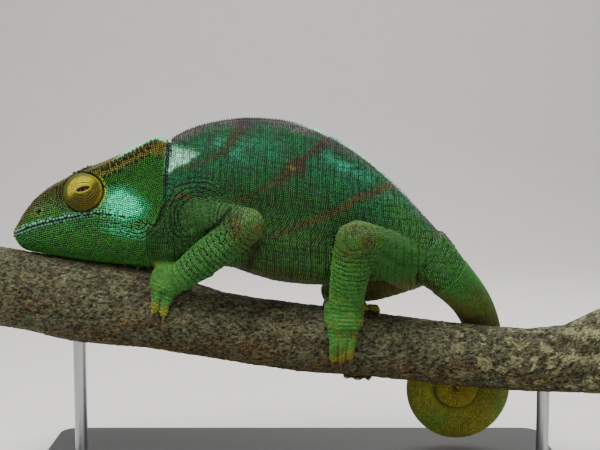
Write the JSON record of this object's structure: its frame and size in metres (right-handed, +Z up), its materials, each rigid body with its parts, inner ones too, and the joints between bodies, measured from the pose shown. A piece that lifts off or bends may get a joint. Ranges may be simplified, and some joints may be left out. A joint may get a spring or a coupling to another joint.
{
  "type": "chameleon",
  "caption": "Life-size green chameleon lying along a cut length of branch, tail coiled behind it, held over a flat base by short rods.",
  "frame": {"origin": "on the surface the stand rests on, under the middle of the perch and base", "axes": "+X from the snout to the tail along the perch, +Y to the animal's right side, +Z up"},
  "size_m": [0.38, 0.15, 0.2259],
  "materials": {
    "head_skin": "matte granular scales, bright green with a pale aqua sheen behind the eye and brown rows along the crest",
    "body_skin": "matte granular scales in upright columns, teal green with oblique brown stripes",
    "limb_skin": "matte granular scales, yellow green with brown at elbow and knee",
    "tail_skin": "matte square scales in rings, green above to olive yellow",
    "eyelid_skin": "fine scales in rings, yellow to olive",
    "eye": "glossy, near black",
    "claw": "satin horn, brown",
    "bark": "rough grey bark with pale lichen patches",
    "stand_paint": "painted board, pale warm grey, satin",
    "stand_steel": "brushed rod"
  },
  "bodies": {
    "root": {"claw_forefoot_left_inner_1": "claw", "claw_forefoot_left_inner_2": "claw", "claw_forefoot_left_inner_3": "claw", "claw_forefoot_left_outer_1": "claw", "claw_forefoot_left_outer_2": "claw", "claw_forefoot_right_inner_1": "claw", "claw_forefoot_right_inner_2": "claw", "claw_forefoot_right_inner_3": "claw", "claw_forefoot_right_outer_1": "claw", "claw_forefoot_right_outer_2": "claw", "claw_hindfoot_left_inner_1": "claw", "claw_hindfoot_left_inner_2": "claw", "claw_hindfoot_left_outer_1": "claw", "claw_hindfoot_left_outer_2": "claw", "claw_hindfoot_left_outer_3": "claw", "claw_hindfoot_right_inner_1": "claw", "claw_hindfoot_right_inner_2": "claw", "claw_hindfoot_right_outer_1": "claw", "claw_hindfoot_right_outer_2": "claw", "claw_hindfoot_right_outer_3": "claw", "eye_left": "eye", "eye_right": "eye", "eye_turret_left": "eyelid_skin", "eye_turret_right": "eyelid_skin", "forearm_left": "limb_skin", "forearm_right": "limb_skin", "forefoot_left": "limb_skin", "forefoot_right": "limb_skin", "head": "head_skin", "hindfoot_left": "limb_skin", "hindfoot_right": "limb_skin", "lower_jaw": "head_skin", "neck": "body_skin", "perch_branch": "bark", "shin_left": "limb_skin", "shin_right": "limb_skin", "stand_base": "stand_paint", "stand_rod_back": "stand_steel", "stand_rod_front": "stand_steel", "tail_base": "tail_skin", "tail_coil_inner": "tail_skin", "tail_coil_lower": "tail_skin", "tail_coil_upper": "tail_skin", "tail_drop": "tail_skin", "tail_tip": "tail_skin", "thigh_left": "limb_skin", "thigh_right": "limb_skin", "trunk": "body_skin", "upper_arm_left": "limb_skin", "upper_arm_right": "limb_skin"}
  },
  "joints": []
}
